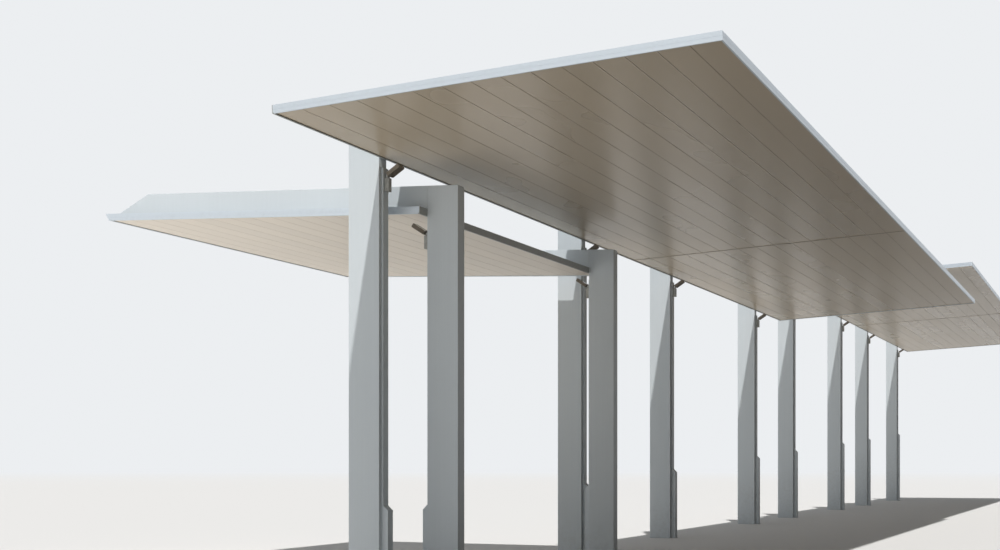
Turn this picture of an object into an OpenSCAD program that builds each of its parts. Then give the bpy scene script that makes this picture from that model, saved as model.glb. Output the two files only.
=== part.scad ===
// Stepped bus shelter: two high roofs and one low roof, hung under arms on slim posts.
// X runs across the shelter, Y along the row of posts and Z up.
// The origin is the middle of the first high post's foot.

/* [Posts] */
// Width of a post across the shelter
post_w = 300; // [240:10:360]
// Depth of a post along the row
post_d = 140; // [110:5:160]
// Distance between the two posts of a high bay
high_pitch = 5240; // [4600:20:5600]
// Distance from the high row of posts to the low row
row_offset = 550; // [480:10:640]

/* [High roofs] */
// Length of a high bay beyond the middle of each of its posts
high_overhang = 1880; // [1500:20:2000]
// Width of a high roof from its post side to its free edge
high_w = 3480; // [2800:20:3800]
// Height of the underside at the post side
high_z = 3710; // [3600:10:4200]
// Slope of a high roof, rising to its free edge
high_tilt = 3; // [1:0.5:5]
// Gap between a high post and the roof beside it
high_gap = 25; // [22:1:60]
// Length by which the second high roof laps over the first
roof_lap = 480; // [200:20:800]
// Height by which the second high roof stands above the first
roof_step = 610; // [500:10:800]

/* [Low roof] */
// Gap between each end of the low roof and the high post beside it
low_end_gap = 150; // [40:5:250]
// Length of the low roof beyond the middle of each low post
low_overhang = 225; // [90:5:600]
// Width of the low roof from its post side to its free edge
low_w = 3320; // [2600:10:3600]
// Height of the underside at the post side
low_z = 3260; // [3000:10:3270]
// Slope of the low roof, rising to its free edge
low_tilt = 2.5; // [1:0.5:4]
// Gap between a low post and the roof beside it
low_gap = 2; // [1:1:10]
// How far the top of the low roof's free edge leans out past its bottom
low_free_slant = 42; // [0:2:60]

/* [Roof layers] */
// Height of a roof's edge
roof_t = 66; // [60:1:90]
// Thickness of an edge trim's upright
trim_t = 6; // [4:1:10]
// Height and depth of the lip under an edge trim
trim_lip = 8; // [6:1:12]
// Height of the middle of the fine groove along an edge trim
trim_groove_z = 30; // [20:1:45]
// Width of the fine groove along an edge trim
trim_groove_w = 2; // [2:1:6]
// Depth of the fine groove along an edge trim
trim_groove_d = 1; // [1:1:3]
// Open joint between two lengths of an edge trim
trim_joint = 4; // [2:1:8]
// Thickness of the boards under a roof
board_t = 18; // [14:1:22]
// Number of boards side by side
board_count = 15; // [10:1:18]
// Width of the grooved joint between two boards
board_groove_w = 6; // [4:1:12]
// Depth of the grooved joint between two boards
board_groove_d = 4; // [3:1:10]
// Joint between the two bays of a high roof
bay_joint = 8; // [4:1:14]
// Width of the strip that shows under the joint between two bays
strip_w = 26; // [18:2:50]
// Thickness of the strip that shows under the joint between two bays
strip_t = 3; // [2:1:5]
// Width of the cap over the joint between two bays
strip_cap_w = 80; // [50:5:120]
// Width of a raised seam on top of a roof
seam_w = 24; // [14:2:40]
// Height of a raised seam on top of a roof
seam_h = 28; // [15:1:45]
// Distance of a raised seam's end from the edge of its roof
seam_setback = 120; // [60:10:300]
// Number of seams between the two arms of a high bay
high_seams = 9; // [5:1:11]
// Number of seams beyond each arm of a high bay
high_end_seams = 3; // [1:1:4]
// Number of seams between the two arms of the low bay
low_seams = 8; // [5:1:9]

/* [Arms] */
// Height of an arm above the roof that it carries
arm_h = 207; // [160:1:240]
// Length over which the free end of an arm slopes down to the roof
arm_nose = 330; // [200:10:500]

/* [Cable covers] */
// How far a cover stands out from its post
cover_t = 19; // [12:1:20]
// How far a cover's wide foot stands out from its post
cover_foot_t = 64; // [45:1:100]
// Distance of a cover from the front face of its post
cover_setback = 42; // [30:1:55]
// Height of the wide foot above the local ground
cover_foot_h = 700; // [400:10:900]
// Space between the top of a cover and the underside of its roof
cover_top_gap = 70; // [40:5:90]

/* [Ground] */
// Length of level ground beyond the first post
level_l = 2000; // [0:100:4000]
// Rise of the ground for each metre beyond that
ground_rise = 40; // [0:1:60]

/* [Lamps] */
// Depth of the top of a lamp's bracket below the roof's edge
lamp_drop = 158; // [140:2:300]
// How far a lamp's bracket stands out from its cover
lamp_base_d = 42; // [36:2:60]
// Height of a lamp's bracket
lamp_base_h = 118; // [90:2:160]
// How far a lamp's head stands out past each side of its bracket
lamp_side = 24; // [10:1:32]
// Height of the hinge pin above a lamp's bracket
lamp_pin_z = 15; // [14:1:24]
// Length of a lamp's head
lamp_l = 136; // [120:5:180]
// Width of a lamp's head
lamp_w = 104; // [92:2:140]
// Depth of a lamp's head, from its rim to the tips of its fins
lamp_d = 36; // [32:1:50]
// Depth of the cooling fins on the back of a lamp's head
fin_h = 9; // [6:1:12]
// Number of cooling fins on the back of a lamp's head
fin_count = 9; // [5:1:11]
// Angle at which a lamp's head rises from the level
lamp_rise = 33; // [20:1:60]

/* [Hidden] */
$fn = 48;

// Side clearance between a panel and the trim round it
panel_gap = 0.3;
// Play between a lamp's ears and the boss between them, and round its pin
ear_play = 0.5;
pin_play = 0.2;
ear_t = 7;
pin_r = 5;
boss_r = 10;
boss_w = 22;
// Length of the boss between the hinge pin and the back plate of the head
boss_l = 16;
// Plates that close the two ends of a lamp's head
end_plate_t = 4;
end_plate_corner = 8;
fin_t = 4;
// The pane and the tray of lights under it
glass_t = 3;
glass_border = 9;
glass_sink = 1;
tray_ledge = 4;
tray_d = 12;
// How far a cut reaches past the face that it opens
cut = 1;
silver = [0.72, 0.75, 0.77];
pale_silver = [0.80, 0.83, 0.86];
taupe = [0.62, 0.57, 0.51];
beige = [0.74, 0.70, 0.64];
bronze = [0.30, 0.28, 0.25];
bracket_grey = [0.44, 0.44, 0.41];

// Lengths along the row, worked out from the posts and the overhangs
high_bay_l = high_pitch + 2 * high_overhang;
high_l = 2 * high_bay_l;
second_y = high_l - roof_lap;
low_bay_l = high_pitch - post_d - 2 * low_end_gap;
low_pitch = low_bay_l - 2 * low_overhang;
low_y = post_d / 2 + low_end_gap + low_overhang;
// Underside of the roof panels, on top of the boards
layer_z = trim_lip + board_t;
// Inset of the boards and panels from the outside of the trims
inset = trim_t + panel_gap;

// Height of the local ground above the lowest foot, at a distance along the row
function ground(y) = max(0, y - level_l) * ground_rise / 1000;
// Start of a high roof along the row, measured at its first post
function high_start(k) = k * second_y;
// Places of the posts of one high bay, four in each high roof
function bay_posts(k, bay) = [for (i = [0, 1]) high_start(k) + bay * high_bay_l + i * high_pitch];
function roof_posts(k) = concat(bay_posts(k, 0), bay_posts(k, 1));
low_posts = [low_y, low_y + low_pitch];
// Distance of a post's roof-side face along a sloping line at a height in the roof
function root_x(gap, tilt, h) = -gap / cos(tilt) + h * tan(tilt);
// Height of the sloping head of a post above the roof's underside, x measured from the roof
function head_z(x, tilt) = (roof_t + arm_h) / cos(tilt) + x * tan(tilt);

// Sets a piece drawn from the post side outwards into a high roof
module in_high(k) {
    translate([post_w / 2 + high_gap, 0, high_z + k * roof_step])
        rotate([0, -high_tilt, 0]) children();
}
// Sets a piece drawn from the post side outwards into the low roof
module in_low() {
    translate([row_offset - post_w / 2 - low_gap, 0, low_z])
        mirror([1, 0, 0]) rotate([0, -low_tilt, 0]) children();
}
// Extrudes an outline drawn across the shelter along the row, centred on y
module along_row(y, depth) {
    translate([0, y + depth / 2, 0]) rotate([90, 0, 0]) linear_extrude(depth) children();
}

// Posts

module post(y, z, gap, tilt) {
    color(silver) along_row(y, post_d) polygon([
        [-post_w / 2, 0],
        [post_w / 2, 0],
        [post_w / 2, z + head_z(-gap, tilt)],
        [-post_w / 2, z + head_z(-gap - post_w, tilt)]
    ]);
}
module high_post(k, i) {
    post(roof_posts(k)[i], high_z + k * roof_step, high_gap, high_tilt);
}
module low_post(i) {
    translate([row_offset, 0, 0]) mirror([1, 0, 0]) post(low_posts[i], low_z, low_gap, low_tilt);
}

// Arms, which run over the roof from the post to the free edge

module arm(y, width, slant, gap, tilt) {
    color(silver) along_row(y, post_d) polygon([
        [root_x(gap, tilt, roof_t), roof_t],
        [width + slant, roof_t],
        [width - arm_nose, roof_t + arm_h],
        [root_x(gap, tilt, roof_t + arm_h), roof_t + arm_h]
    ]);
}
module high_arms(k, bay) {
    in_high(k) for (y = bay_posts(k, bay)) arm(y, high_w, 0, high_gap, high_tilt);
}
module low_arms() {
    in_low() for (y = low_posts) arm(y, low_w, low_free_slant, low_gap, low_tilt);
}

// Cable covers on the roof side of each post, wide at the foot

module cable_cover(y, z) {
    depth = post_d - cover_setback;
    foot_z = ground(y) + cover_foot_h;
    face = post_w / 2;
    color(silver) along_row(y + cover_setback / 2, depth) polygon([
        [face, 0],
        [face + cover_foot_t, 0],
        [face + cover_foot_t, foot_z - (cover_foot_t - cover_t)],
        [face + cover_t, foot_z],
        [face + cover_t, z - cover_top_gap],
        [face, z - cover_top_gap]
    ]);
}
module high_covers(k, bay) {
    for (y = bay_posts(k, bay)) cable_cover(y, high_z + k * roof_step);
}
module low_covers() {
    translate([row_offset, 0, 0]) mirror([1, 0, 0])
        for (y = low_posts) cable_cover(y, low_z);
}

// Roof panels with raised seams, which slope down at both ends and stop short of the trims

module roof_panel(start, end, width, seams) {
    color(pale_silver) translate([0, start, layer_z])
        translate([inset, 0, 0]) cube([width - 2 * inset, end - start, roof_t - layer_z]);
    color(pale_silver) for (y = seams) along_row(y, seam_w) polygon([
        [seam_setback, layer_z],
        [width - seam_setback, layer_z],
        [width - seam_setback, roof_t],
        [width - seam_setback - seam_h, roof_t + seam_h],
        [seam_setback + seam_h, roof_t + seam_h],
        [seam_setback, roof_t]
    ]);
}
// Start and end of the boards and panels of one high bay, between the end trim and the bay joint
function bay_start(k, bay) = bay_posts(k, bay)[0] - high_overhang + (bay == 0 ? inset : bay_joint / 2);
function bay_end(k, bay) =
    bay_posts(k, bay)[0] - high_overhang + high_bay_l - (bay == 1 ? inset : bay_joint / 2);
// Seam places for one bay whose first arm is at y: between the arms, then beyond each arm
function bay_seams(y, pitch, overhang, between, beyond) = concat(
    [for (i = [1:between]) y + i * pitch / (between + 1)],
    [for (i = [1:beyond], side = [0, 1])
        y + side * pitch + (2 * side - 1) * i * overhang / (beyond + 1)]
);
module high_roof(k, bay) {
    seams = bay_seams(bay_posts(k, bay)[0], high_pitch, high_overhang, high_seams, high_end_seams);
    in_high(k) roof_panel(bay_start(k, bay), bay_end(k, bay), high_w, seams);
}
module low_roof() {
    seams = [for (i = [1:low_seams]) low_posts[0] + i * low_pitch / (low_seams + 1)];
    start = low_posts[0] - low_overhang;
    in_low() roof_panel(start + inset, start + low_bay_l - inset, low_w, seams);
}

// Boards under a roof, with a vee groove at each joint

module boards(start, end, width) {
    board_w = (width - 2 * inset) / board_count;
    half = board_groove_w / 2;
    underside = [for (i = [1:board_count - 1], p = [[-half, 0], [0, board_groove_d], [half, 0]])
        [i * board_w + p[0], p[1]]];
    translate([inset, end, trim_lip]) rotate([90, 0, 0])
        linear_extrude(end - start) polygon(concat(
            [[0, 0]],
            underside,
            [[board_count * board_w, 0], [board_count * board_w, board_t], [0, board_t]]
        ));
}
module high_boards(k, bay) {
    color(taupe) in_high(k) boards(bay_start(k, bay), bay_end(k, bay), high_w);
}
module low_boards() {
    start = low_posts[0] - low_overhang;
    color(beige) in_low() boards(start + inset, start + low_bay_l - inset, low_w);
}

// Edge trims, an upright with a fine groove outside and a lip that carries the boards

module trim_outline(slant) {
    half = trim_groove_w / 2;
    // Outside of the upright at a height, which leans out towards the top
    function face(z) = -slant * z / roof_t;
    polygon([
        [0, 0],
        [trim_t + trim_lip, 0],
        [trim_t + trim_lip, trim_lip],
        [trim_t, trim_lip],
        [trim_t, roof_t],
        [face(roof_t), roof_t],
        [face(trim_groove_z + half), trim_groove_z + half],
        [face(trim_groove_z) + trim_groove_d, trim_groove_z + half],
        [face(trim_groove_z) + trim_groove_d, trim_groove_z - half],
        [face(trim_groove_z - half), trim_groove_z - half]
    ]);
}
module post_trim(start, end, slant = 0) {
    color(silver) translate([0, end, 0]) rotate([90, 0, 0])
        linear_extrude(end - start) trim_outline(slant);
}
module free_trim(start, end, width, slant = 0) {
    translate([width, 0, 0]) mirror([1, 0, 0]) post_trim(start, end, slant);
}
// A trim across one end, cut to fit between the two side trims and round their lips
module end_trim(y, side, width) {
    upright_w = width - 2 * trim_t;
    lip_w = upright_w - 2 * trim_lip;
    groove_z = trim_groove_z - trim_groove_w / 2;
    color(silver) translate([0, y, 0]) mirror([0, side, 0]) difference() {
        union() {
            translate([trim_t + trim_lip, 0, 0]) cube([lip_w, trim_t + trim_lip, trim_lip]);
            translate([trim_t, 0, trim_lip]) cube([upright_w, trim_t, roof_t - trim_lip]);
        }
        translate([0, -cut, groove_z]) cube([width, cut + trim_groove_d, trim_groove_w]);
    }
}
// The strip between two bays, with a flat bar below the boards and a cap over the panels
module bay_strip(y, width) {
    start = trim_t + trim_lip + panel_gap;
    web = bay_joint / 2 - panel_gap;
    color(silver) translate([start, y, 0]) rotate([90, 0, 90])
        linear_extrude(width - 2 * start) polygon([
            [-strip_w / 2, trim_lip - strip_t],
            [strip_w / 2, trim_lip - strip_t],
            [strip_w / 2, trim_lip],
            [web, trim_lip],
            [web, roof_t],
            [strip_cap_w / 2, roof_t],
            [strip_cap_w / 2, roof_t + strip_t],
            [-strip_cap_w / 2, roof_t + strip_t],
            [-strip_cap_w / 2, roof_t],
            [-web, roof_t],
            [-web, trim_lip],
            [-strip_w / 2, trim_lip]
        ]);
}
// Start and end of the two lengths of side trim of a high roof
function trim_ends(k) =
    let (start = high_start(k) - high_overhang, joint = start + high_bay_l)
    [[start, joint - trim_joint / 2], [joint + trim_joint / 2, start + high_l]];
module high_post_trim(k) {
    in_high(k) for (ends = trim_ends(k)) post_trim(ends[0], ends[1]);
}
module high_free_trim(k) {
    in_high(k) for (ends = trim_ends(k)) free_trim(ends[0], ends[1], high_w);
}
module high_end_trims(k) {
    start = high_start(k) - high_overhang;
    in_high(k) {
        end_trim(start, 0, high_w);
        bay_strip(start + high_bay_l, high_w);
        end_trim(start + high_l, 1, high_w);
    }
}
module low_post_trim() {
    in_low() post_trim(low_y - low_overhang, low_y - low_overhang + low_bay_l);
}
module low_free_trim() {
    in_low() free_trim(low_y - low_overhang, low_y - low_overhang + low_bay_l, low_w, low_free_slant);
}
module low_end_trims() {
    in_low() {
        end_trim(low_y - low_overhang, 0, low_w);
        end_trim(low_y - low_overhang + low_bay_l, 1, low_w);
    }
}

// Lamps, drawn with the back of the bracket at x = 0 and its top at z = 0

lamp_base_w = lamp_w - 2 * lamp_side;
lamp_pin_x = lamp_base_d / 2;
ear_y = boss_w / 2 + ear_play;
// Start of the head beyond its pin, and the length between its end plates
head_x = boss_l;
body_l = lamp_l - 2 * end_plate_t;

// A bar across the lamp, centred on its middle
module across(radius, length) {
    translate([0, length / 2, 0]) rotate([90, 0, 0]) cylinder(r = radius, h = length);
}
module lamp_bracket() {
    color(bracket_grey) {
        translate([0, -lamp_base_w / 2, -lamp_base_h]) cube([lamp_base_d, lamp_base_w, lamp_base_h]);
        translate([lamp_pin_x, 0, lamp_pin_z]) across(pin_r, 2 * (ear_y + ear_t));
        for (side = [-1, 1]) translate([lamp_pin_x, side * (ear_y + ear_t / 2), 0]) {
            translate([-boss_r, -ear_t / 2, 0]) cube([2 * boss_r, ear_t, lamp_pin_z]);
            translate([0, 0, lamp_pin_z]) across(boss_r, ear_t);
        }
    }
}
// Section of a head across its length, flat rim up and fins down
module head_section() {
    pitch = (lamp_w - fin_t) / (fin_count - 1);
    translate([-lamp_w / 2, fin_h]) square([lamp_w, lamp_d - fin_h]);
    for (i = [0:fin_count - 1])
        translate([-lamp_w / 2 + i * pitch, 0]) square([fin_t, fin_h]);
}
module end_plate_outline() {
    half = lamp_w / 2;
    polygon([
        [-half, end_plate_corner],
        [-half + end_plate_corner, 0],
        [half - end_plate_corner, 0],
        [half, end_plate_corner],
        [half, lamp_d],
        [-half, lamp_d]
    ]);
}
// Sets a piece drawn along the head, with the pin at its start and the rim up, at the angle of the head
module at_head() {
    translate([lamp_pin_x, 0, lamp_pin_z]) rotate([0, -lamp_rise, 0]) translate([0, 0, -lamp_d / 2])
        children();
}
// Extrudes an outline drawn across the head along it
module along_head(x, length) {
    translate([x, 0, 0]) rotate([90, 0, 90]) linear_extrude(length) children();
}
// A box in the head's open face, drawn in from the glass border and down from the rim
module in_face(step, top, depth) {
    border = glass_border + step;
    translate([head_x + border, border - lamp_w / 2, lamp_d - top - depth])
        cube([lamp_l - 2 * border, lamp_w - 2 * border, depth]);
}
module lamp_head() {
    color(bronze) at_head() difference() {
        union() {
            along_head(head_x + end_plate_t, body_l) head_section();
            along_head(head_x, end_plate_t) end_plate_outline();
            along_head(head_x + lamp_l - end_plate_t, end_plate_t) end_plate_outline();
            translate([0, 0, lamp_d / 2]) across(boss_r, boss_w);
            translate([0, -boss_w / 2, lamp_d / 2 - boss_r]) cube([head_x, boss_w, 2 * boss_r]);
        }
        translate([0, 0, lamp_d / 2]) across(pin_r + pin_play, 2 * boss_w);
        in_face(0, -cut, cut + glass_sink + glass_t);
        in_face(tray_ledge, glass_sink, tray_d);
    }
}
module lamp_pane() {
    color([0.85, 0.88, 0.90]) at_head() in_face(panel_gap, glass_sink, glass_t);
}
// Puts one lamp on the cable cover of each post in a list
module on_posts(places, z) {
    for (y = places)
        translate([post_w / 2 + cover_t, y + cover_setback / 2, z - lamp_drop]) children();
}
module on_high_posts(k) {
    on_posts(roof_posts(k), high_z + k * roof_step) children();
}
module on_low_posts() {
    translate([row_offset, 0, 0]) mirror([1, 0, 0]) on_posts(low_posts, low_z) children();
}
module lamp_glass() {
    on_high_posts(0) lamp_pane();
    on_high_posts(1) lamp_pane();
    on_low_posts() lamp_pane();
}

high_post(0, 0);  // high_post_1
high_post(0, 1);  // high_post_2
high_post(0, 2);  // high_post_3
high_post(0, 3);  // high_post_4
high_post(1, 0);  // high_post_5
high_post(1, 1);  // high_post_6
high_post(1, 2);  // high_post_7
high_post(1, 3);  // high_post_8
low_post(0);  // low_post_1
low_post(1);  // low_post_2
high_arms(0, 0);  // high_arms_1
high_arms(0, 1);  // high_arms_2
high_arms(1, 0);  // high_arms_3
high_arms(1, 1);  // high_arms_4
low_arms();
high_covers(0, 0);  // high_covers_1
high_covers(0, 1);  // high_covers_2
high_covers(1, 0);  // high_covers_3
high_covers(1, 1);  // high_covers_4
low_covers();
high_roof(0, 0);  // high_roof_1
high_roof(0, 1);  // high_roof_2
high_roof(1, 0);  // high_roof_3
high_roof(1, 1);  // high_roof_4
low_roof();
high_boards(0, 0);  // high_boards_1
high_boards(0, 1);  // high_boards_2
high_boards(1, 0);  // high_boards_3
high_boards(1, 1);  // high_boards_4
low_boards();
high_post_trim(0);  // high_post_trim_1
high_free_trim(0);  // high_free_trim_1
high_end_trims(0);  // high_end_trims_1
high_post_trim(1);  // high_post_trim_2
high_free_trim(1);  // high_free_trim_2
high_end_trims(1);  // high_end_trims_2
low_post_trim();
low_free_trim();
low_end_trims();
on_high_posts(0) lamp_bracket();  // lamp_brackets_1
on_high_posts(1) lamp_bracket();  // lamp_brackets_2
on_low_posts() lamp_bracket();  // lamp_brackets_low
on_high_posts(0) lamp_head();  // lamp_heads_1
on_high_posts(1) lamp_head();  // lamp_heads_2
on_low_posts() lamp_head();  // lamp_heads_low
lamp_glass();
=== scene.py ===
"""Finishes, small fittings, light and camera for a stepped bus shelter.

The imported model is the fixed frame: X runs across the shelter, Y along the row of posts and Z up, in metres.
"""
import math

import bmesh
import bpy
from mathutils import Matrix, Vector


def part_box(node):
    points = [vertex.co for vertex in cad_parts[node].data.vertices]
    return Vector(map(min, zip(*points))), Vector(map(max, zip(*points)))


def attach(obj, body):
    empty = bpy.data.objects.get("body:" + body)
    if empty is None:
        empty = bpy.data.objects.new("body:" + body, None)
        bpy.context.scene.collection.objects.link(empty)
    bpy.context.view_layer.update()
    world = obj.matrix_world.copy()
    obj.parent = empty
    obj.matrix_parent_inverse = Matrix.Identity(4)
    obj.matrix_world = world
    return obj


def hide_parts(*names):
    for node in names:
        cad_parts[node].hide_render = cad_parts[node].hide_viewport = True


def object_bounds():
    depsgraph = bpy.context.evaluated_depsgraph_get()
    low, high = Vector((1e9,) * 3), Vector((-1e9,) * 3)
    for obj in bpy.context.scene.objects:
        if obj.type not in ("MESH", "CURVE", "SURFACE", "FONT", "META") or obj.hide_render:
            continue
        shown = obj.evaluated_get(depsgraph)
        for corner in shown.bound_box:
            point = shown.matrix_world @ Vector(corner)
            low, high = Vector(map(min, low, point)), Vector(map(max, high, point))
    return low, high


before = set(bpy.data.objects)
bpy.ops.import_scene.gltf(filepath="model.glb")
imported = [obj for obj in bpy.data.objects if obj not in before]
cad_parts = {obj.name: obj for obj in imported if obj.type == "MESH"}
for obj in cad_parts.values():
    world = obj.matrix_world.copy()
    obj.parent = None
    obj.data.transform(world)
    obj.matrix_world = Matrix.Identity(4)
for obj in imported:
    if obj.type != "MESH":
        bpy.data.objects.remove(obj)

cad_low, cad_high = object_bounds()

# View of the photograph

IMAGE_W = 1000
IMAGE_H = 550
HORIZON_ROW = 462.47
FOCAL_PIXELS = 1505
SENSOR_W = 36
CAMERA_PLACE = Vector((6.142, -11.716, 1.074))
CAMERA_TURN = math.radians(22.634)
CAMERA_REACH = 3000

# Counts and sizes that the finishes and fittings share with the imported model. A name ends in T for a thickness,
# W for a width, D for a depth, H for a height, L for a length and R for a radius. The ground is level for LEVEL_L
# along the row, and then rises by GROUND_RISE a metre.

HIGH_ROOF_COUNT = 2
ROOF_BAYS = 2
ROOF_POSTS = 4
ROOF_T = 0.066
HIGH_TILT = math.radians(3)
LOW_TILT = math.radians(2.5)
TRIM_INSET = 0.0063
TRIM_LIP = 0.008
LIP_END = 0.014
BOARD_COUNT = 15
ARM_NOSE = 0.330
POST_D = 0.140
LEVEL_L = 2.0
GROUND_RISE = 0.04
COVER_T = 0.019
COVER_SETBACK = 0.042
COVER_FOOT_T = 0.064
COVER_FOOT_H = 0.700
LAMP_RISE = math.radians(33)
LAMP_BASE_D = 0.042
LAMP_BASE_H = 0.118
LAMP_PIN_Z = 0.015
LAMP_BOSS_R = 0.010
LAMP_BOSS_L = 0.016
LAMP_L = 0.136
LAMP_W = 0.104
LAMP_D = 0.036
LAMP_BORDER = 0.013
LAMP_TRAY_FLOOR = 0.023

HIGH_POSTS = [f"high_post_{i + 1}" for i in range(HIGH_ROOF_COUNT * ROOF_POSTS)]
LOW_POSTS = ["low_post_1", "low_post_2"]
BODY = "root"


def middle(node):
    """Middle of a CAD node's box."""
    low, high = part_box(node)
    return (low + high) / 2


def ground(y):
    """Height of the local ground, at a distance along the row."""
    return max(0.0, y - LEVEL_L) * GROUND_RISE


class Roof:
    """Places on one tilted roof.

    u runs along the slope from the post side to the free edge, and w up from the underside. Both start at x and z,
    the lowest corner of the roof's section.
    side is 1 where the roof reaches towards +X and -1 where it reaches towards -X.
    bays holds the start and end of each bay's boards along the row, and posts the place of each post.
    """

    def __init__(self, post_trim, boards, posts, covers, brackets, side, tilt):
        self.side = side
        self.tilt = tilt
        self.x = self.outer(post_trim, -side) + side * ROOF_T * math.sin(tilt)
        self.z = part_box(post_trim)[0].z
        far = self.outer(boards[0], side)
        self.width = (abs(far - self.x) + TRIM_LIP * math.sin(tilt)) / math.cos(tilt) + TRIM_INSET
        self.bays = [(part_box(name)[0].y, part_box(name)[1].y) for name in boards]
        self.posts = [middle(post).y for post in posts]
        self.cover_face = self.outer(brackets, -side)
        self.cover_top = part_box(covers)[1].z
        self.pin_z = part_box(brackets)[1].z - LAMP_BOSS_R

    def outer(self, node, side):
        """The X at which a node ends towards +X, or towards -X where side is negative."""
        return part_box(node)[1 if side > 0 else 0].x

    def point(self, u, y, w):
        """A place on the roof, in the shared frame."""
        across = u * math.cos(self.tilt) - w * math.sin(self.tilt)
        up = u * math.sin(self.tilt) + w * math.cos(self.tilt)
        return Vector((self.x + self.side * across, y, self.z + up))


HIGH_BOARDS = [f"high_boards_{i + 1}" for i in range(HIGH_ROOF_COUNT * ROOF_BAYS)]
HIGH_ROOFS = [
    Roof(
        f"high_post_trim_{k + 1}",
        HIGH_BOARDS[ROOF_BAYS * k:ROOF_BAYS * (k + 1)],
        HIGH_POSTS[ROOF_POSTS * k:ROOF_POSTS * (k + 1)],
        f"high_covers_{ROOF_BAYS * k + 1}",
        f"lamp_brackets_{k + 1}",
        side=1,
        tilt=HIGH_TILT,
    )
    for k in range(HIGH_ROOF_COUNT)
]
LOW_ROOF = Roof(
    "low_post_trim",
    ["low_boards"],
    LOW_POSTS,
    "low_covers",
    "lamp_brackets_low",
    side=-1,
    tilt=LOW_TILT,
)
ROOFS = HIGH_ROOFS + [LOW_ROOF]


class Lamp:
    """Places on the lamp of one post, which stands on the post's cable cover.

    along runs from the hinge pin to the far end of the head, and up from its fins to its rim.
    """

    def __init__(self, roof, y):
        self.side = roof.side
        self.y = y + COVER_SETBACK / 2
        self.front = roof.cover_face + roof.side * LAMP_BASE_D
        self.pin = Vector((roof.cover_face + roof.side * LAMP_BASE_D / 2, self.y, roof.pin_z))

    def point(self, along, across, up):
        """A place on the head, in the shared frame."""
        rise = up - LAMP_D / 2
        out = along * math.cos(LAMP_RISE) - rise * math.sin(LAMP_RISE)
        high = along * math.sin(LAMP_RISE) + rise * math.cos(LAMP_RISE)
        return self.pin + Vector((self.side * out, across, high))


LAMPS = [Lamp(roof, y) for roof in ROOFS for y in roof.posts]


# Node trees

def found(sockets, key):
    """The socket with this place, identifier or name."""
    if isinstance(key, int):
        return sockets[key]
    matches = [s for s in sockets if s.identifier == key] or [s for s in sockets if s.name == key]
    return matches[0]


class Value:
    """A node's output. An expression on values adds its Math nodes."""

    def __init__(self, graph, socket):
        self.graph = graph
        self.socket = socket

    def __add__(self, other):
        return self.graph.math("ADD", self, other)

    def __sub__(self, other):
        return self.graph.math("SUBTRACT", self, other)

    def __rsub__(self, other):
        return self.graph.math("SUBTRACT", other, self)

    def __mul__(self, other):
        return self.graph.math("MULTIPLY", self, other)

    def __truediv__(self, other):
        return self.graph.math("DIVIDE", self, other)

    def __rtruediv__(self, other):
        return self.graph.math("DIVIDE", other, self)

    def __abs__(self):
        return self.graph.math("ABSOLUTE", self)

    __radd__ = __add__
    __rmul__ = __mul__

    def floor(self):
        return self.graph.math("FLOOR", self)

    def ceiling(self):
        return self.graph.math("CEIL", self)

    def fraction(self):
        return self.graph.math("FRACT", self)

    def at_least(self, other):
        return self.graph.math("MAXIMUM", self, other)

    def at_most(self, other):
        return self.graph.math("MINIMUM", self, other)

    def ramp(self, start, end):
        """0 at start and 1 at end, smooth between them. start may be the larger."""
        return self.graph.add(
            "ShaderNodeMapRange",
            {"interpolation_type": "SMOOTHSTEP"},
            {"Value": self, "From Min": start, "From Max": end},
        )["Result"]


class Graph:
    """A node tree in which one method adds every node."""

    def __init__(self, tree):
        self.tree = tree

    def add(self, kind, settings=None, sockets=None):
        """Adds a node of one type: its settings first, then the values or links of its sockets."""
        node = self.tree.nodes.new(kind)
        for name, setting in (settings or {}).items():
            setattr(node, name, setting)
        for key, given in (sockets or {}).items():
            self.connect(found(node.inputs, key), given)
        return Added(self, node)

    def connect(self, socket, given):
        """Links a value to a socket, or sets the socket to a plain number, colour, vector or object."""
        if isinstance(given, Value):
            self.tree.links.new(given.socket, socket)
        elif socket.type == "RGBA" and len(given) == 3:
            socket.default_value = (*given, 1)
        else:
            socket.default_value = given

    def math(self, operation, *operands):
        return self.add("ShaderNodeMath", {"operation": operation}, dict(enumerate(operands)))["Value"]

    def vector(self, x=0, y=0, z=0):
        return self.add("ShaderNodeCombineXYZ", {}, {"X": x, "Y": y, "Z": z})["Vector"]


class Added:
    """A node that was added, whose outputs are read by name."""

    def __init__(self, graph, node):
        self.graph = graph
        self.node = node

    def __getitem__(self, key):
        return Value(self.graph, found(self.node.outputs, key))


# Finishes

def scaled(colour, factor):
    """A colour made lighter or darker."""
    return tuple(part * factor for part in colour)


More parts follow.
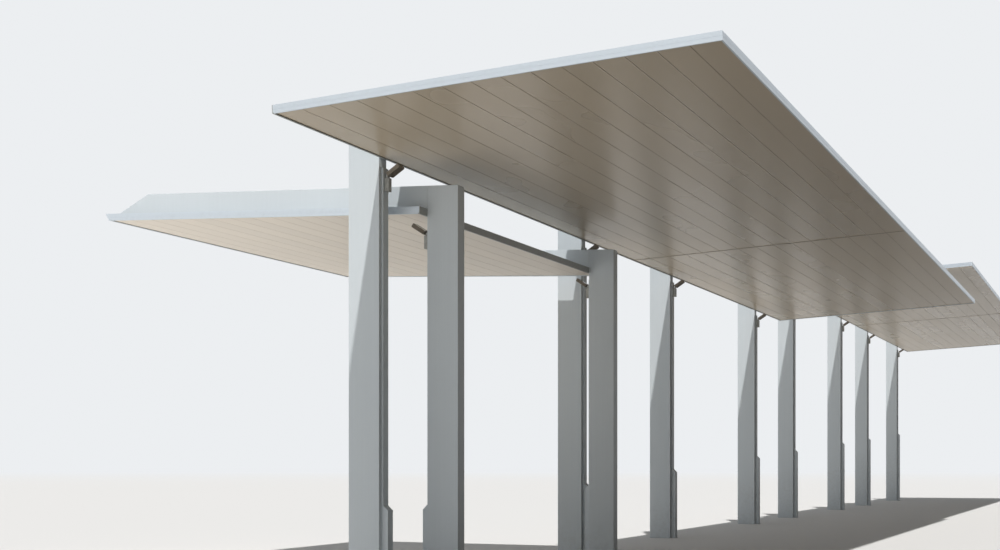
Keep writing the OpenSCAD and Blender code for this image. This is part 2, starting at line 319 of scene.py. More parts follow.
class Finish(Graph):
    """One surface finish. Constants sit on the shader's own sockets, and patterns read Object coordinates."""

    def __init__(self, name, constants):
        self.material = bpy.data.materials.new(name)
        self.material.use_nodes = True
        super().__init__(self.material.node_tree)
        self.tree.nodes.clear()
        self.place = self.add("ShaderNodeTexCoord")["Object"]
        self.surface = self.add("ShaderNodeBsdfPrincipled", {}, constants)
        self.output = self.add("ShaderNodeOutputMaterial", {}, {"Surface": self.surface["BSDF"]})
        self.material.diffuse_color = (*constants["Base Color"], 1)

    def drive(self, name, value):
        """Lets one of the shader's sockets vary over the surface."""
        self.connect(found(self.surface.node.inputs, name), value)

    def axes(self):
        """The X, Y and Z of the place."""
        parts = self.add("ShaderNodeSeparateXYZ", {}, {"Vector": self.place})
        return parts["X"], parts["Y"], parts["Z"]

    def noise(self, size, stretch=(1, 1, 1), detail=3.0, shift=0.0):
        """Noise from 0 to 1, with its blotches about one size across, stretched along the axes."""
        place = self.add(
            "ShaderNodeMapping",
            {},
            {"Vector": self.place, "Location": (shift,) * 3, "Scale": tuple(1 / (size * s) for s in stretch)},
        )["Vector"]
        return self.add("ShaderNodeTexNoise", {}, {"Vector": place, "Scale": 1.0, "Detail": detail})["Fac"]

    def mix(self, first, second, share):
        """A colour between two, by a share from 0 to 1."""
        return self.add(
            "ShaderNodeMix",
            {"data_type": "RGBA"},
            {"Factor_Float": share, "A_Color": first, "B_Color": second},
        )["Result_Color"]

    def bump(self, height, depth, under=None):
        """A normal from a height of 0 to 1 times a depth in metres, on top of another normal."""
        sockets = {"Height": height, "Distance": depth, "Strength": 1.0}
        if under is not None:
            sockets["Normal"] = under
        return self.add("ShaderNodeBump", {}, sockets)["Normal"]


# Colours

SILVER = (0.595, 0.64, 0.67)
PALE_SILVER = (0.62, 0.675, 0.725)
# Dark grey of the trims on the post side: painted shade, as they stand in shade under the roofs
POST_SIDE_SHADE_GREY = (0.36, 0.37, 0.36)
SPLASH = (0.30, 0.27, 0.23)
TAUPE = (0.485, 0.402, 0.293)
BEIGE = (0.76, 0.69, 0.60)
SHEET = (0.54, 0.57, 0.59)
# Dark colour of dust and water marks, also used for the painted shade in the boards' joints
GRIME_AND_SHADE = (0.16, 0.145, 0.125)
BRONZE = (0.165, 0.14, 0.108)
BRACKET_GREY = (0.30, 0.30, 0.28)
STEEL = (0.55, 0.55, 0.53)
RUBBER = (0.035, 0.034, 0.033)
BOARD_WHITE = (0.78, 0.79, 0.78)
LENS = (0.86, 0.84, 0.70)
GLASS = (0.90, 0.94, 0.92)

# How metallic the pale trims and the grey ones look

ANODISED = 0.5
DULLED = 0.05

# The trims' drawing lines are this many times longer than wide

DRAWN = 400

# Height of the splashes on the posts, from where they end to where they are full

SPLASH_HEIGHT = (0.42, 0.0)

# Where a board's dust and the painted shade in its joint start and are full, from its middle, as shares of its
# width

BOARD_DUST = (0.44, 0.49)
BOARD_JOINT_SHADE = (0.484, 0.490)

# The paint under a bay joint: where it ends beside the joint and above the underside, and its share of the
# boards' colour

STRIP_PAINT = (0.022, 0.020)
STRIP_SHADE = 0.6


def silver_paint():
    """Satin metallic paint on the posts, arms and covers, with faint run marks and splashes at the feet."""
    finish = Finish("silver_paint", {"Base Color": SILVER, "Specular IOR Level": 0.3})
    _, y, z = finish.axes()
    height = z - (y - LEVEL_L).at_least(0) * GROUND_RISE
    cloud = finish.noise(0.55, stretch=(1, 1, 2.2))
    runs = finish.noise(0.016, stretch=(1, 1, 90), detail=2, shift=3)
    flake = finish.noise(0.0012, detail=1, shift=7)
    splash = height.ramp(*SPLASH_HEIGHT) * finish.noise(0.05, detail=5, shift=11).ramp(0.35, 0.75)
    clean = finish.mix(scaled(SILVER, 0.94), scaled(SILVER, 1.05), cloud * 0.55 + runs * 0.45)
    finish.drive("Base Color", finish.mix(clean, SPLASH, splash * 0.12))
    finish.drive("Roughness", 0.40 + cloud * 0.07 + flake * 0.06 + splash * 0.2)
    ripple = finish.bump(cloud, 0.002)
    finish.drive("Normal", finish.bump(flake, 0.00005, ripple))
    return finish.material


def edge_trim(name, along, colour, metallic, strip_roof=None):
    """Satin trim with hair-fine drawing lines along X or Y and a little dust.

    Where a roof is given, the strip under the joint between its bays is painted a darker shade of the boards.
    """
    finish = Finish(name, {"Base Color": colour, "Metallic": metallic, "Specular IOR Level": 0.35})
    stretch = (DRAWN, 1, 1) if along == "X" else (1, DRAWN, 1)
    lines = finish.noise(0.0012, stretch=stretch, detail=1)
    cloud = finish.noise(0.8, detail=2, shift=5)
    dust = finish.noise(0.05, detail=4, shift=9).ramp(0.4, 0.8)
    clean = finish.mix(scaled(colour, 0.97), scaled(colour, 1.03), lines * 0.3 + cloud * 0.7)
    tone = finish.mix(clean, GRIME_AND_SHADE, dust * 0.05)
    if strip_roof:
        x, y, z = finish.axes()
        height = z - strip_roof.z - (x - strip_roof.x) * math.tan(strip_roof.tilt)
        aside = abs(y - (strip_roof.bays[0][1] + strip_roof.bays[1][0]) / 2)
        painted = height.ramp(*STRIP_PAINT) * aside.ramp(*STRIP_PAINT)
        tone = finish.mix(tone, scaled(TAUPE, STRIP_SHADE), painted)
    finish.drive("Base Color", tone)
    finish.drive("Roughness", 0.36 + lines * 0.05 + cloud * 0.06 + dust * 0.08)
    finish.drive("Normal", finish.bump(lines, 0.00002))
    return finish.material


def board_finish(name, roof, colour, seed, roughness):
    """Satin painted boards. Each board has its own slight tone and finish, with dust along its joints and painted
    shade inside them.
    """
    finish = Finish(name, {"Base Color": colour, "Specular IOR Level": 0.13})
    x, _, _ = finish.axes()
    board_w = (roof.width - 2 * TRIM_INSET) / BOARD_COUNT
    start = TRIM_INSET - TRIM_LIP * math.tan(roof.tilt)
    across = (x - roof.x) * (roof.side / math.cos(roof.tilt)) - start
    number = (across / board_w).floor()
    from_middle = abs((across / board_w).fraction() - 0.5)
    tone = finish.add(
        "ShaderNodeTexWhiteNoise",
        {"noise_dimensions": "2D"},
        {"Vector": finish.vector(number, seed)},
    )["Value"]
    lines = finish.noise(0.006, stretch=(1, 90, 1), detail=2, shift=seed)
    cloud = finish.noise(1.1, stretch=(1, 2, 1), detail=2, shift=seed + 2)
    # Painted shade inside each board's joint
    joint = from_middle.ramp(*BOARD_JOINT_SHADE)
    dust = from_middle.ramp(*BOARD_DUST) * finish.noise(0.25, stretch=(1, 3, 1), shift=seed + 4).ramp(0.25, 0.8)
    spread = tone * 0.5 + cloud * 0.35 + lines * 0.15
    clean = finish.mix(scaled(colour, 0.95), scaled(colour, 1.05), spread)
    finish.drive("Base Color", finish.mix(clean, GRIME_AND_SHADE, dust * 0.08 + joint * 0.22))
    finish.drive("Roughness", roughness + cloud * 0.05 + tone * 0.03 + dust * 0.12)
    wave = finish.noise(0.9, stretch=(0.3, 1.6, 1), detail=1, shift=seed + 6)
    finish.drive("Normal", finish.bump(lines, 0.00003, finish.bump(wave, 0.0008)))
    return finish.material


def roof_sheet():
    """Coated sheet on top of the roofs, slightly wavy between its seams, with dust and dried water marks."""
    finish = Finish("roof_sheet", {"Base Color": SHEET, "Metallic": 0.2, "Specular IOR Level": 0.5})
    cloud = finish.noise(1.6, detail=3)
    marks = finish.noise(0.22, stretch=(2.4, 1, 1), detail=5, shift=9).ramp(0.42, 0.72)
    dust = finish.noise(0.03, detail=4, shift=15)
    clean = finish.mix(scaled(SHEET, 0.94), scaled(SHEET, 1.05), cloud)
    finish.drive("Base Color", finish.mix(clean, GRIME_AND_SHADE, marks * 0.10 + dust * 0.08))
    finish.drive("Roughness", 0.38 + cloud * 0.08 + marks * 0.14)
    wave = finish.noise(0.32, stretch=(2.5, 1, 1), detail=1, shift=21)
    finish.drive("Normal", finish.bump(dust, 0.0001, finish.bump(wave, 0.003)))
    return finish.material


def powder_coat(name, colour):
    """Fine textured powder coat on cast lamp parts, a little paler where weather rubs it."""
    finish = Finish(name, {"Base Color": colour, "Metallic": 0.15, "Specular IOR Level": 0.5})
    grain = finish.noise(0.0016, detail=2)
    cloud = finish.noise(0.05, detail=4, shift=3)
    finish.drive("Base Color", finish.mix(colour, scaled(colour, 1.6), cloud.ramp(0.35, 0.75) * 0.6))
    finish.drive("Roughness", 0.44 + grain * 0.14)
    finish.drive("Normal", finish.bump(grain, 0.00025))
    return finish.material


def lamp_glass():
    """Clear tempered glass with a thin film of dust."""
    finish = Finish("lamp_glass", {"Base Color": GLASS, "Transmission Weight": 1.0, "IOR": 1.5})
    dust = finish.noise(0.02, detail=5)
    finish.drive("Roughness", 0.02 + dust.ramp(0.45, 0.8) * 0.18)
    return finish.material


def fixing_steel():
    """Stainless screws and bolts."""
    finish = Finish("fixing_steel", {"Base Color": STEEL, "Metallic": 0.85})
    turned = finish.noise(0.002, detail=2)
    finish.drive("Base Color", finish.mix(scaled(STEEL, 0.85), scaled(STEEL, 1.1), turned))
    finish.drive("Roughness", 0.28 + turned * 0.15)
    return finish.material


def seal_rubber():
    """Black rubber seals, dulled by dust."""
    finish = Finish("seal_rubber", {"Base Color": RUBBER, "Specular IOR Level": 0.4})
    dust = finish.noise(0.05, detail=4)
    finish.drive("Base Color", finish.mix(RUBBER, scaled(RUBBER, 2.4), dust.ramp(0.4, 0.8)))
    finish.drive("Roughness", 0.55 + dust * 0.2)
    return finish.material


def light_board(name, colour, roughness):
    """Smooth coating of the board of lights behind a lamp's glass, or clear resin of the lenses on it."""
    finish = Finish(name, {"Base Color": colour, "Specular IOR Level": 0.5})
    mottle = finish.noise(0.004, detail=3)
    finish.drive("Base Color", finish.mix(scaled(colour, 0.92), scaled(colour, 1.04), mottle))
    finish.drive("Roughness", roughness + mottle * 0.1)
    return finish.material


SILVER_PAINT = silver_paint()
# The post-side trims take a dark grey that is painted shade
POST_SIDE_SHADED_TRIM = edge_trim("post_side_trim", "Y", POST_SIDE_SHADE_GREY, DULLED)
FREE_SIDE_TRIM = edge_trim("free_side_trim", "Y", PALE_SILVER, ANODISED)
END_TRIM = edge_trim("end_trim", "X", PALE_SILVER, ANODISED)
STRIPPED_TRIMS = {
    f"high_end_trims_{k + 1}": edge_trim(f"end_trim_with_strip_{k + 1}", "X", PALE_SILVER, ANODISED, roof)
    for k, roof in enumerate(HIGH_ROOFS)
}
ROOF_SHEET = roof_sheet()
LAMP_BODY = powder_coat("bronze_powder_coat", BRONZE)
LAMP_BRACKET = powder_coat("grey_powder_coat", BRACKET_GREY)
LAMP_GLASS = lamp_glass()
FIXING_STEEL = fixing_steel()
SEAL_RUBBER = seal_rubber()
LIGHT_BOARD = light_board("light_board", BOARD_WHITE, 0.45)
LIGHT_LENS = light_board("light_lens", LENS, 0.12)
BOARDS = {
    name: board_finish(f"taupe_boards_{i + 1}", HIGH_ROOFS[i // ROOF_BAYS], TAUPE, seed=10 * i + 1, roughness=0.24)
    for i, name in enumerate(HIGH_BOARDS)
}
BOARDS["low_boards"] = board_finish("pale_boards", LOW_ROOF, BEIGE, seed=77, roughness=0.40)


def finish_for(node):
    """The finish of a CAD node, by its name."""
    if node == "lamp_glass":
        return LAMP_GLASS
    if node.startswith("lamp_brackets"):
        return LAMP_BRACKET
    if node.startswith("lamp_heads"):
        return LAMP_BODY
    if "end_trims" in node:
        return STRIPPED_TRIMS.get(node, END_TRIM)
    if "post_trim" in node:
        return POST_SIDE_SHADED_TRIM
    if "free_trim" in node:
        return FREE_SIDE_TRIM
    if "boards" in node:
        return BOARDS[node]
    if "roof" in node:
        return ROOF_SHEET
    return SILVER_PAINT


for name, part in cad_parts.items():
    part.data.materials.clear()
    part.data.materials.append(finish_for(name))


# Pieces

def keep(name, mesh, material=None):
    """Makes a finished mesh one piece of the shelter."""
    piece = bpy.data.objects.new(name, mesh)
    bpy.context.scene.collection.objects.link(piece)
    if material:
        mesh.materials.append(material)
    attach(piece, BODY)
    return piece


def to_mesh(name, shape):
    """Turns a bmesh of closed solids into a mesh whose faces point outwards."""
    bmesh.ops.recalc_face_normals(shape, faces=shape.faces)
    mesh = bpy.data.meshes.new(name)
    shape.to_mesh(mesh)
    shape.free()
    return mesh


def add_bar(shape, ring, other_ring):
    """Adds a straight bar between two matching rings of places."""
    ends = [[shape.verts.new(place) for place in places] for places in (ring, other_ring)]
    for end in ends:
        shape.faces.new(end)
    count = len(ring)
    for i in range(count):
        j = (i + 1) % count
        shape.faces.new((ends[0][i], ends[0][j], ends[1][j], ends[1][i]))


# Rounded copies of the posts, arms and cable covers. An edge that turns more than SHARP is rounded, and faces that
# meet at less than FLAT are first made one.

POST_ROUND = 0.004
COVER_ROUND = 0.0015
SHARP = math.radians(30)
FLAT = math.radians(0.1)
SAME_PLACE = 0.00001


def rounded_copy(node, radius):
    """A copy of a CAD node with its sharp edges rounded, which stands for the node."""
    shape = bmesh.new()
    shape.from_mesh(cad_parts[node].data)
    bmesh.ops.remove_doubles(shape, verts=shape.verts, dist=SAME_PLACE)
    bmesh.ops.dissolve_limit(shape, angle_limit=FLAT, verts=shape.verts, edges=shape.edges)
    edges = [edge for edge in shape.edges if edge.calc_face_angle(0) > SHARP]
    bmesh.ops.bevel(shape, geom=edges, offset=radius, segments=2, profile=0.5, affect="EDGES")
    for face in shape.faces:
        face.smooth = True
    mesh = to_mesh(f"{node}_rounded", shape)
    piece = keep(f"{node}_rounded", mesh, SILVER_PAINT)
    even = piece.modifiers.new("even shading", "WEIGHTED_NORMAL")
    even.keep_sharp = False
    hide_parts(node)


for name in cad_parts:
    if name in HIGH_POSTS + LOW_POSTS or "arms" in name:
        rounded_copy(name, POST_ROUND)
    elif "covers" in name:
        rounded_copy(name, COVER_ROUND)


# Seals between the boards and the lips beside them

SEAL_W = 0.004
SEAL_H = 0.0015


def make_board_seals():
    """A thin black seal along both sides of the boards of each bay, against the lips of the side trims."""
    shape = bmesh.new()
    low = TRIM_LIP - SEAL_H
    for roof in ROOFS:
        for bay in roof.bays:
            for u in (LIP_END, roof.width - LIP_END - SEAL_W):
                section = ((u, low), (u + SEAL_W, low), (u + SEAL_W, TRIM_LIP), (u, TRIM_LIP))
                add_bar(shape, *[[roof.point(v, y, w) for v, w in section] for y in bay])
    keep("board_seals", to_mesh("board_seals", shape), SEAL_RUBBER)


make_board_seals()


# Flashings beside the arms on top of the roofs

FLASHING_LEG = 0.040
FLASHING_T = 0.002
FLASHING_START = 0.012
FLASHING_STOP = 0.030


def make_flashings():
    """A pair of thin angles along each arm, with one leg on the roof and the other against the arm."""
    shape = bmesh.new()
    for roof in ROOFS:
        ends = (FLASHING_START, roof.width - ARM_NOSE - FLASHING_STOP)
        for y in roof.posts:
            for side in (-1, 1):
                section = [
                    (y + side * (POST_D / 2 + out), ROOF_T + up)
                    for out, up in (
                        (0, 0),
                        (FLASHING_LEG, 0),
                        (FLASHING_LEG, FLASHING_T),
                        (FLASHING_T, FLASHING_T),
                        (FLASHING_T, FLASHING_LEG),
                        (0, FLASHING_LEG),
                    )
                ]
                add_bar(shape, *[[roof.point(u, v, w) for v, w in section] for u in ends])
    keep("arm_flashings", to_mesh("arm_flashings", shape), SILVER_PAINT)


make_flashings()


# Geometry Nodes

# A screw's head: the collar's share of its height, then for each step above it the rise, as a share of the
# height, and the size of the step's top

SCREW_COLLAR = 0.5
SCREW_STEPS = ((0.5, 0.74), (0.0, 0.66), (-0.6, 0.94))

# A hinge pin's width and reach, as shares of its nut's

PIN_WIDTH = 0.55
PIN_REACH = 1.4


class Shape(Graph):
    """A Geometry Nodes tree with named sizes. It ends by making its instances real and giving them a finish."""

    def __init__(self, name, sizes):
        super().__init__(bpy.data.node_groups.new(name, "GeometryNodeTree"))
        sockets = self.tree.interface
        sockets.new_socket("Geometry", in_out="OUTPUT", socket_type="NodeSocketGeometry")
        sockets.new_socket("Geometry", in_out="INPUT", socket_type="NodeSocketGeometry")
        for size, value in sizes.items():
            kind = "NodeSocketInt" if isinstance(value, int) else "NodeSocketFloat"
            sockets.new_socket(size, in_out="INPUT", socket_type=kind).default_value = value
        self.given = self.add("NodeGroupInput")

    def stand(self, points, instance):
        """Puts an instance on each point, turned to the point's facing attribute."""
        facing = self.add("GeometryNodeInputNamedAttribute", {"data_type": "FLOAT_VECTOR"}, {"Name": "facing"})
        turn = self.add("FunctionNodeAlignRotationToVector", {"axis": "Z"}, {"Vector": facing["Attribute"]})
        return self.add(
            "GeometryNodeInstanceOnPoints",
            {},
            {"Points": points, "Instance": instance, "Rotation": turn["Rotation"]},
        )["Instances"]

    def moved(self, geometry, shift=None, scale=(1, 1, 1)):
        """A geometry moved and scaled."""
        sockets = {"Geometry": geometry, "Scale": scale}
        if shift is not None:
            sockets["Translation"] = shift
        return self.add("GeometryNodeTransform", {}, sockets)["Geometry"]

    def finish(self, instances, material):
        """Ends the tree: makes the instances real and gives them their finish."""
        real = self.add("GeometryNodeRealizeInstances", {}, {"Geometry": instances})["Geometry"]
        painted = self.add("GeometryNodeSetMaterial", {}, {"Geometry": real, "Material": material})["Geometry"]
        self.add("NodeGroupOutput", {}, {"Geometry": painted})
        return self


def screw_rows(material):
    """Rows of button-head screws with a socket in each head, one row on each edge of the host mesh."""
    shape = Shape("screw_rows", {"Largest gap": 0.3, "Head radius": 0.005, "Head height": 0.003})
    height = shape.given["Head height"]
    collar = height * SCREW_COLLAR
    head = shape.add(
        "GeometryNodeMeshCylinder",
        {"fill_type": "NGON"},
        {"Vertices": 12, "Radius": shape.given["Head radius"], "Depth": collar},
    )
    mesh, top = head["Mesh"], head["Top"]
    for rise, size in SCREW_STEPS:
        raised = shape.add(
            "GeometryNodeExtrudeMesh",
            {"mode": "FACES"},
            {"Mesh": mesh, "Selection": top, "Offset Scale": height * rise, "Individual": False},
        )
        top = raised["Top"]
        mesh = shape.add(
            "GeometryNodeScaleElements",
            {"domain": "FACE"},
            {"Geometry": raised["Mesh"], "Selection": top, "Scale": size},
        )["Geometry"]
    seated = shape.moved(mesh, shape.vector(z=collar / 2))
    rows = shape.add("GeometryNodeMeshToCurve", {}, {"Mesh": shape.given["Geometry"]})["Curve"]
    length = shape.add("GeometryNodeSplineLength")["Length"]
    count = (length / shape.given["Largest gap"]).ceiling() + 1
    places = shape.add("GeometryNodeResampleCurve", {}, {"Curve": rows, "Count": count})["Curve"]
    return shape.finish(shape.stand(places, seated), material)


def hinge_nuts(material):
    """A hexagon nut on each point of the host mesh, with the end of its pin standing out of it."""
    shape = Shape("hinge_nuts", {"Nut radius": 0.008, "Nut height": 0.005})
    radius = shape.given["Nut radius"]
    height = shape.given["Nut height"]
    parts = shape.add("GeometryNodeJoinGeometry")
    for corners, width, reach in ((6, 1, 1), (12, PIN_WIDTH, PIN_REACH)):
        bar = shape.add(
            "GeometryNodeMeshCylinder",
            {},
            {"Vertices": corners, "Radius": radius * width, "Depth": height * reach},
        )["Mesh"]
        shape.connect(parts.node.inputs["Geometry"], shape.moved(bar, shape.vector(z=height * (reach / 2))))
    return shape.finish(shape.stand(shape.given["Geometry"], parts["Geometry"]), material)


def light_lenses(material):
    """A low dome on each point of the host mesh."""
    shape = Shape("light_lenses", {"Lens radius": 0.005, "Lens height": 0.0035})
    radius = shape.given["Lens radius"]
    dome = shape.add("GeometryNodeMeshUVSphere", {}, {"Segments": 12, "Rings": 6, "Radius": radius})["Mesh"]
    low = shape.moved(dome, scale=shape.vector(1, 1, shape.given["Lens height"] / radius))
    smooth = shape.add("GeometryNodeSetShadeSmooth", {}, {"Geometry": low})["Geometry"]
    return shape.finish(shape.stand(shape.given["Geometry"], smooth), material)


def grow(name, shape, rows, sizes):
    """Runs a tree on rows of places and keeps the result as one piece.

    A row is a facing and its places. The places of a row are joined in line.
    """
    places, edges, facings = [], [], []
    for facing, row in rows:
        first = len(places)
        places.extend(row)
        facings.extend([facing] * len(row))
        edges.extend((first + i, first + i + 1) for i in range(len(row) - 1))
    host_mesh = bpy.data.meshes.new(f"{name}_host")
    host_mesh.from_pydata(places, edges, [])
    stored = host_mesh.attributes.new("facing", "FLOAT_VECTOR", "POINT")
    for i, facing in enumerate(facings):
        stored.data[i].vector = facing
    host = bpy.data.objects.new(f"{name}_host", host_mesh)
    bpy.context.scene.collection.objects.link(host)
    modifier = host.modifiers.new(name, "NODES")
    modifier.node_group = shape.tree
    for item in shape.tree.interface.items_tree:
        if item.in_out == "INPUT" and item.name in sizes:
            modifier[item.identifier] = sizes[item.name]
    seen = bpy.context.evaluated_depsgraph_get()
    mesh = bpy.data.meshes.new_from_object(host.evaluated_get(seen), depsgraph=seen)
    mesh.name = name
    host.modifiers.clear()
    bpy.data.objects.remove(host)
    return keep(name, mesh)


SCREWS = screw_rows(FIXING_STEEL)
NUTS = hinge_nuts(FIXING_STEEL)
LENSES = light_lenses(LIGHT_LENS)


# Screws in the cable covers

COVER_SCREW_EDGE = 0.012
COVER_SCREW_END = 0.045


def cover_screw_rows():
    """Two rows of screws up each cable cover, and two up its wide foot."""
    rows = []
    half = (POST_D - COVER_SETBACK) / 2 - COVER_SCREW_EDGE
    for roof in ROOFS:
        foot_face = roof.cover_face + roof.side * (COVER_FOOT_T - COVER_T)
        for y in roof.posts:
            foot_low = ground(y) + COVER_SCREW_END
            foot_high = ground(y) + COVER_FOOT_H - COVER_FOOT_T - COVER_SCREW_END
            low = ground(y) + COVER_FOOT_H + COVER_SCREW_END
            high = roof.cover_top - COVER_SCREW_END
            for side in (-1, 1):
                v = y + COVER_SETBACK / 2 + side * half
                for x, ends in ((roof.cover_face, (low, high)), (foot_face, (foot_low, foot_high))):
                    rows.append(((roof.side, 0, 0), [(x, v, z) for z in ends]))
    return rows


grow("cover_screws", SCREWS, cover_screw_rows(), {"Largest gap": 0.42, "Head radius": 0.0045})


# Screws in the flashings

FLASHING_SCREW_END = 0.05
FLASHING_SCREW_OUT = 0.024


def flashing_screw_rows():
    """A row of screws along the roof leg of each flashing."""
    rows = []
    for roof in ROOFS:
        facing = (-roof.side * math.sin(roof.tilt), 0, math.cos(roof.tilt))
        ends = (FLASHING_START + FLASHING_SCREW_END, roof.width - ARM_NOSE - FLASHING_STOP - FLASHING_SCREW_END)
        for y in roof.posts:
            for side in (-1, 1):
                v = y + side * (POST_D / 2 + FLASHING_SCREW_OUT)
                rows.append((facing, [roof.point(u, v, ROOF_T + FLASHING_T) for u in ends]))
    return rows


grow(
    "flashing_screws", SCREWS, flashing_screw_rows(),
    {"Largest gap": 0.30, "Head radius": 0.006, "Head height": 0.004})


# Fixings and lights of the lamps

BRACKET_SCREW_END = 0.022
HINGE_END = 0.0185
END_PLATE_SCREW_EDGE = 0.010


def bracket_screw_rows():
    """Two screws down the front of each bracket."""
    rows = []
    for lamp in LAMPS:
        top = lamp.pin.z - LAMP_PIN_Z - BRACKET_SCREW_END
        low = lamp.pin.z - LAMP_PIN_Z - LAMP_BASE_H + BRACKET_SCREW_END
        rows.append(((lamp.side, 0, 0), [(lamp.front, lamp.y, z) for z in (low, top)]))
    return rows


def hinge_nut_points():
    """A nut on each end of each hinge pin."""
    rows = []
    for lamp in LAMPS:
        for side in (-1, 1):
            place = lamp.pin + Vector((0, side * HINGE_END, 0))
            rows.append(((0, side, 0), [place]))
    return rows


def end_plate_screw_rows():
    """Two screws in the far end plate of each head."""
    rows = []
    for lamp in LAMPS:
        far = LAMP_BOSS_L + LAMP_L
        facing = lamp.point(1, 0, 0) - lamp.point(0, 0, 0)
        half = LAMP_W / 2 - END_PLATE_SCREW_EDGE
        places = [lamp.point(far, v, LAMP_D / 2) for v in (-half, half)]
        rows.append((facing, places))
    return rows


LENS_ROWS = 3
LENS_COLUMNS = 4
LIGHT_BOARD_T = 0.0016
LIGHT_BOARD_EDGE = 0.001


def light_board_edges():
    """Start, end and half width of the board of lights in a head's tray."""
    start = LAMP_BOSS_L + LAMP_BORDER + LIGHT_BOARD_EDGE
    end = LAMP_BOSS_L + LAMP_L - LAMP_BORDER - LIGHT_BOARD_EDGE
    return start, end, LAMP_W / 2 - LAMP_BORDER - LIGHT_BOARD_EDGE


def make_light_boards():
    """A thin board in the tray of each head."""
    start, end, half = light_board_edges()
    shape = bmesh.new()
    for lamp in LAMPS:
        low, high = LAMP_TRAY_FLOOR, LAMP_TRAY_FLOOR + LIGHT_BOARD_T
        section = ((-half, low), (half, low), (half, high), (-half, high))
        add_bar(shape, *[[lamp.point(u, v, w) for v, w in section] for u in (start, end)])
    keep("light_boards", to_mesh("light_boards", shape), LIGHT_BOARD)


def lens_points():
    """Places of the lenses, in rows across each board."""
    start, end, half = light_board_edges()
    rows = []
    for lamp in LAMPS:
        facing = lamp.point(0, 0, 1) - lamp.point(0, 0, 0)
        for i in range(LENS_COLUMNS):
            along = start + (end - start) * (i + 0.5) / LENS_COLUMNS
            across = [half * (2 * j + 1 - LENS_ROWS) / LENS_ROWS for j in range(LENS_ROWS)]
            rows.append((facing, [lamp.point(along, v, LAMP_TRAY_FLOOR + LIGHT_BOARD_T) for v in across]))
    return rows


make_light_boards()
grow("light_lenses", LENSES, lens_points(), {"Lens radius": 0.009, "Lens height": 0.005})
grow("hinge_nuts", NUTS, hinge_nut_points(), {"Nut radius": 0.008})
grow(
    "lamp_screws", SCREWS, bracket_screw_rows() + end_plate_screw_rows(),
    {"Largest gap": 0.09, "Head radius": 0.004, "Head height": 0.0025})


# Light, floor and backdrop

BACKDROP = (0.84, 0.86, 0.88)
FLOOR = (0.66, 0.655, 0.65)
FLOOR_HALF = 700
FLOOR_FADE = (45, 170)

# Light that the floor throws up: its colours on the post side and on the free side, the X between which it
# turns, and the place in front of the shelter where that turn slants away

BOUNCE_POST_SIDE = (0.95, 0.94, 0.92)
BOUNCE_FREE_SIDE = (0.09, 0.085, 0.08)
BOUNCE_TURN = (-2.5, 2.5)
BOUNCE_FRONT = -3.5
BOUNCE_SLANT = 0.7

# Soft light from all round: its colour, its level, and how much it changes along X, Y and Z as shares of that level

SOFT_COLOUR = (0.93, 0.97, 1.0)
SOFT_LEVEL = 0.28
SOFT_SLOPE = (-1.2, -0.6, -0.1)

# Key light

KEY_COLOUR = (1.0, 0.985, 0.96)
KEY_TURN = math.radians(20.4)
KEY_HEIGHT = math.radians(64.4)
KEY_STRENGTH = 3.5
KEY_SOFTNESS = math.radians(1.2)


def shown_rays(graph):
    """1 for what the camera sees, itself or in metal and glass, and 0 for light on the shelter."""
    path = graph.add("ShaderNodeLightPath")
    return path["Is Camera Ray"].at_least(path["Is Glossy Ray"]).at_least(path["Is Transmission Ray"])


def make_floor():
    """A plain pale floor that fades into the backdrop far away, and throws up less light on the free side."""
    mesh = bpy.data.meshes.new("floor")
    corners = [(sx * FLOOR_HALF, sy * FLOOR_HALF, cad_low.z) for sx, sy in ((-1, -1), (1, -1), (1, 1), (-1, 1))]
    mesh.from_pydata(corners, [], [(0, 1, 2, 3)])
    floor = bpy.data.objects.new("floor", mesh)
    bpy.context.scene.collection.objects.link(floor)
    finish = Finish("pale_floor", {"Base Color": FLOOR, "Roughness": 0.85, "Specular IOR Level": 0.2})
    x, y, _ = finish.axes()
    past_turn = x.at_most((x + y - BOUNCE_FRONT) * BOUNCE_SLANT).ramp(*BOUNCE_TURN)
    bounce = finish.mix(BOUNCE_POST_SIDE, BOUNCE_FREE_SIDE, past_turn)
    finish.drive("Base Color", finish.mix(bounce, FLOOR, shown_rays(finish)))
    far = finish.math("SQRT", x * x + y * y).ramp(*FLOOR_FADE)
    glow = finish.add("ShaderNodeEmission", {}, {"Color": BACKDROP, "Strength": 1.0})["Emission"]
    shown = finish.add("ShaderNodeMixShader", {}, {0: far, 1: finish.surface["BSDF"], 2: glow})["Shader"]
    finish.connect(finish.output.node.inputs["Surface"], shown)
    mesh.materials.append(finish.material)


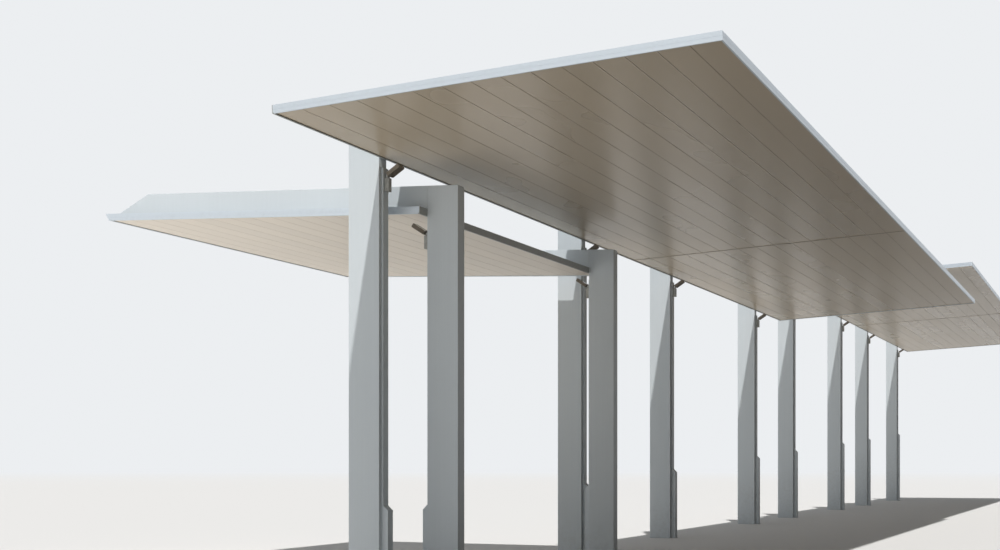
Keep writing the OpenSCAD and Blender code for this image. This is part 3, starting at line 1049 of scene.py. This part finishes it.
def make_world():
    """Soft light, strongest from the post side of the high roofs, and a plain pale backdrop."""
    world = bpy.data.worlds.new("studio")
    world.use_nodes = True
    world.node_tree.nodes.clear()
    graph = Graph(world.node_tree)
    direction = graph.add("ShaderNodeTexCoord")["Generated"]
    parts = graph.add("ShaderNodeSeparateXYZ", {}, {"Vector": direction})
    x_slope, y_slope, z_slope = SOFT_SLOPE
    slope = parts["X"] * x_slope + parts["Y"] * y_slope + parts["Z"] * z_slope
    strength = (SOFT_LEVEL + slope * SOFT_LEVEL).at_least(0)
    lighting = graph.add("ShaderNodeBackground", {}, {"Color": SOFT_COLOUR, "Strength": strength})
    backdrop = graph.add("ShaderNodeBackground", {}, {"Color": BACKDROP, "Strength": 1.0})
    mixed = graph.add(
        "ShaderNodeMixShader",
        {},
        {0: shown_rays(graph), 1: lighting["Background"], 2: backdrop["Background"]},
    )
    graph.add("ShaderNodeOutputWorld", {}, {"Surface": mixed["Shader"]})
    bpy.context.scene.world = world


def make_key_light():
    """One light from high in front, whose shadows have slightly soft edges."""
    lamp = bpy.data.lights.new("key", "SUN")
    lamp.energy = KEY_STRENGTH
    lamp.angle = KEY_SOFTNESS
    lamp.color = KEY_COLOUR
    key = bpy.data.objects.new("key", lamp)
    towards = Vector((
        math.sin(KEY_TURN) * math.cos(KEY_HEIGHT),
        -math.cos(KEY_TURN) * math.cos(KEY_HEIGHT),
        math.sin(KEY_HEIGHT),
    ))
    key.rotation_euler = towards.to_track_quat("Z", "Y").to_euler()
    bpy.context.scene.collection.objects.link(key)


def make_camera():
    """A level camera at the photograph's viewing angle, shifted up as the photograph's frame is."""
    data = bpy.data.cameras.new("camera")
    data.sensor_width = SENSOR_W
    data.lens = SENSOR_W * FOCAL_PIXELS / IMAGE_W
    data.shift_y = (HORIZON_ROW - IMAGE_H / 2) / IMAGE_W
    data.clip_end = CAMERA_REACH
    camera = bpy.data.objects.new("camera", data)
    camera.location = CAMERA_PLACE
    camera.rotation_euler = (math.radians(90), 0, CAMERA_TURN)
    bpy.context.scene.collection.objects.link(camera)
    bpy.context.scene.camera = camera


make_camera()
make_floor()
make_world()
make_key_light()
bpy.context.scene.view_settings.view_transform = "Standard"
